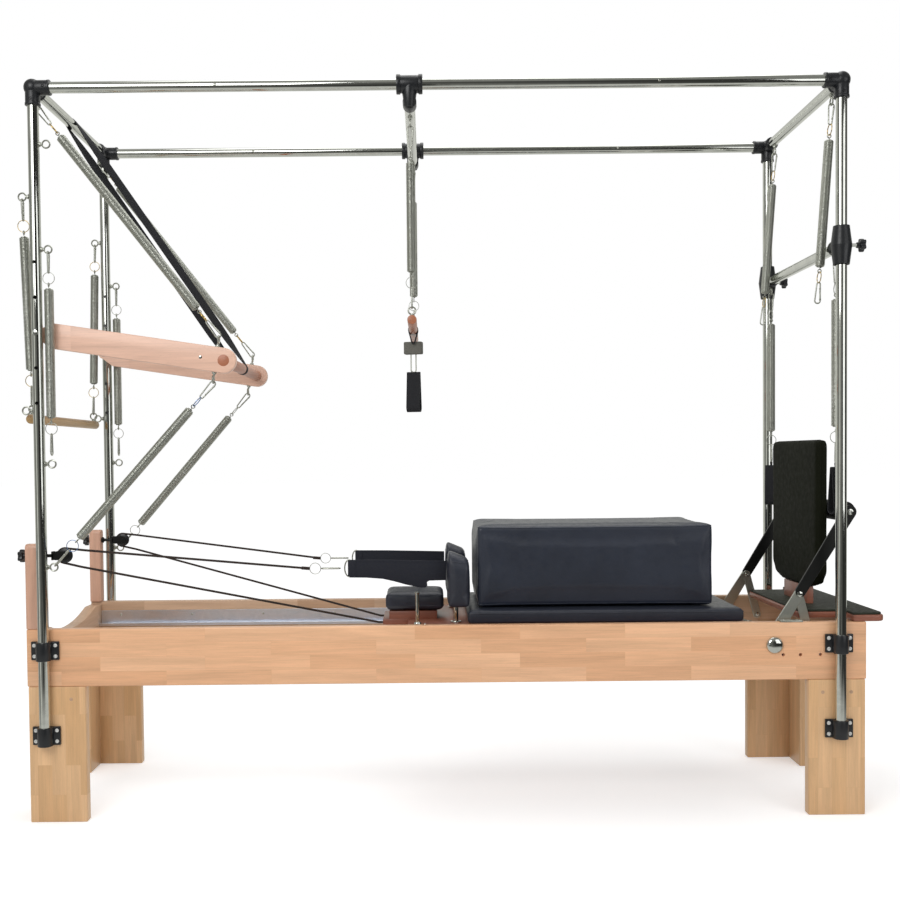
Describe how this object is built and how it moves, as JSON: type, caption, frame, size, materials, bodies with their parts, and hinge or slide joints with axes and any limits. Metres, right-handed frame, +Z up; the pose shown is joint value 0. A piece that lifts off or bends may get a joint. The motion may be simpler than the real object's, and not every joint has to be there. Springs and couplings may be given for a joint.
{
  "type": "pilates trapeze table",
  "caption": "Wooden pilates bed with a sprung sliding carriage, sitting box and footbar under a chrome tube frame that carries bars, springs, a trapeze and straps.",
  "frame": {"origin": "on the floor under the centre of the whole table's box", "axes": "+X to the foot end with the standing platform, +Y to the back, +Z up"},
  "size_m": [2.5604, 0.74, 2.178],
  "materials": {
    "bed_wood": "satin varnish",
    "leg_wood": "satin varnish",
    "bar_wood": "smooth varnish",
    "chrome": "mirror polish",
    "track_metal": "satin anodised",
    "fittings": "satin black",
    "spring_steel": "bright wire",
    "upholstery": "soft sheen",
    "webbing": "woven matte"
  },
  "bodies": {
    "bed": {"side_rail_front": "bed_wood", "side_rail_back": "bed_wood", "end_board_left": "bed_wood", "end_board_right": "bed_wood", "leg_front_left": "leg_wood", "leg_front_right": "leg_wood", "leg_back_left": "leg_wood", "leg_back_right": "leg_wood", "riser_front": "bed_wood", "riser_back": "bed_wood", "track_front": "track_metal", "track_back": "track_metal", "standing_platform": "bed_wood", "spring_bar": "spring_steel", "post_front_left": "chrome", "post_front_right": "chrome", "post_back_left": "chrome", "post_back_right": "chrome", "top_tube_front": "chrome", "top_tube_back": "chrome", "top_end_left": "fittings", "top_end_right": "fittings", "pulley_block_front": "fittings", "pulley_block_back": "fittings", "spring_push_upper_front": "spring_steel", "spring_push_upper_back": "spring_steel", "spring_push_lower_front": "spring_steel", "spring_push_lower_back": "spring_steel", "safety_strap": "webbing", "carriage_springs": "spring_steel"},
    "carriage": {"carriage_frame": "bed_wood", "carriage_pad": "upholstery", "shoulder_rest_front": "upholstery", "shoulder_rest_back": "upholstery", "rope_front": "webbing", "rope_back": "webbing"},
    "headrest_flap": {"headrest": "upholstery"},
    "box": {"sitting_box": "upholstery"},
    "jumper": {"jump_board": "upholstery"},
    "foot_bar": {"footbar": "chrome"},
    "push_bar": {"push_through_bar": "bar_wood"},
    "roll_down": {"roll_down_bar": "bar_wood", "spring_roll_down_front": "spring_steel", "spring_roll_down_back": "spring_steel"},
    "top_slider": {"trapeze_slider": "fittings"},
    "trapeze": {"trapeze_bar": "bar_wood", "spring_trapeze_front": "spring_steel", "spring_trapeze_back": "spring_steel"},
    "sling_loop": {"sling": "webbing"},
    "post_slider": {"height_slider": "fittings"},
    "sheave_front": {"pulley_sheave_front": "spring_steel"},
    "free_front": {"spring_free_front": "spring_steel"},
    "top_right_front": {"spring_top_right_front": "spring_steel"},
    "low_right_front": {"spring_low_right_front": "spring_steel", "foot_strap_front": "webbing"},
    "sheave_back": {"pulley_sheave_back": "spring_steel"},
    "free_back": {"spring_free_back": "spring_steel"},
    "top_right_back": {"spring_top_right_back": "spring_steel"},
    "low_right_back": {"spring_low_right_back": "spring_steel", "foot_strap_back": "webbing"}
  },
  "joints": [
    {"name": "carriage_slide", "type": "slide", "parent": "bed", "child": "carriage", "axis": [1, 0, 0], "range_m": [-0.85, 0], "stiffness_N_per_m": 400, "springref_m": 0.02, "deforming": ["carriage_springs", "rope_front", "rope_back"]},
    {"name": "headrest_tilt", "type": "hinge", "parent": "carriage", "child": "headrest_flap", "pos_m": [-0.01485, 0, 0.585], "axis": [0, 1, 0], "range_deg": [0, 30]},
    {"name": "box_lift", "type": "slide", "parent": "carriage", "child": "box", "axis": [0, 0, 1], "range_m": [0, 0.3]},
    {"name": "jump_board_lift", "type": "slide", "parent": "bed", "child": "jumper", "axis": [0, 0, 1], "range_m": [0, 0.25]},
    {"name": "footbar_fold", "type": "hinge", "parent": "bed", "child": "foot_bar", "pos_m": [0.95215, 0, 0.507], "axis": [0, 1, 0], "range_deg": [0, 30]},
    {"name": "push_bar_swing", "type": "hinge", "parent": "bed", "child": "push_bar", "pos_m": [-1.19985, 0, 1.443], "axis": [0, 1, 0], "range_deg": [-70, 0], "deforming": ["spring_push_upper_front", "spring_push_upper_back", "spring_push_lower_front", "spring_push_lower_back", "safety_strap"]},
    {"name": "roll_down_swing", "type": "hinge", "parent": "bed", "child": "roll_down", "pos_m": [-1.23585, 0, 1.837], "axis": [0, 1, 0], "range_deg": [0, 40]},
    {"name": "trapeze_slide", "type": "slide", "parent": "bed", "child": "top_slider", "axis": [1, 0, 0], "range_m": [-0.35, 0.35]},
    {"name": "trapeze_swing", "type": "hinge", "parent": "top_slider", "child": "trapeze", "pos_m": [-0.10985, 0, 2.053], "axis": [0, 1, 0], "range_deg": [-35, 35]},
    {"name": "sling_swing", "type": "hinge", "parent": "trapeze", "child": "sling_loop", "pos_m": [-0.10985, 0, 1.48], "axis": [0, 1, 0], "range_deg": [-60, 60]},
    {"name": "post_slide", "type": "slide", "parent": "bed", "child": "post_slider", "axis": [0, 0, 1], "range_m": [-0.28, 0]},
    {"name": "sheave_spin_front", "type": "hinge", "parent": "bed", "child": "sheave_front", "pos_m": [-1.14485, -0.301, 0.7903], "axis": [0, 1, 0], "continuous": true},
    {"name": "free_swing_front", "type": "hinge", "parent": "bed", "child": "free_front", "pos_m": [-1.16385, -0.34, 1.685], "axis": [0, 1, 0], "range_deg": [-25, 0]},
    {"name": "top_right_swing_front", "type": "hinge", "parent": "bed", "child": "top_right_front", "pos_m": [1.14015, -0.262, 2.103], "axis": [0, 1, 0], "range_deg": [0, 40]},
    {"name": "low_right_swing_front", "type": "hinge", "parent": "post_slider", "child": "low_right_front", "pos_m": [1.14015, -0.3, 1.628], "axis": [0, 1, 0], "range_deg": [-20, 20]},
    {"name": "sheave_spin_back", "type": "hinge", "parent": "bed", "child": "sheave_back", "pos_m": [-1.14485, 0.301, 0.7903], "axis": [0, 1, 0], "continuous": true},
    {"name": "free_swing_back", "type": "hinge", "parent": "bed", "child": "free_back", "pos_m": [-1.16385, 0.34, 1.685], "axis": [0, 1, 0], "range_deg": [-25, 0]},
    {"name": "top_right_swing_back", "type": "hinge", "parent": "bed", "child": "top_right_back", "pos_m": [1.14015, 0.262, 2.103], "axis": [0, 1, 0], "range_deg": [0, 40]},
    {"name": "low_right_swing_back", "type": "hinge", "parent": "post_slider", "child": "low_right_back", "pos_m": [1.14015, 0.3, 1.628], "axis": [0, 1, 0], "range_deg": [-20, 20]}
  ]
}
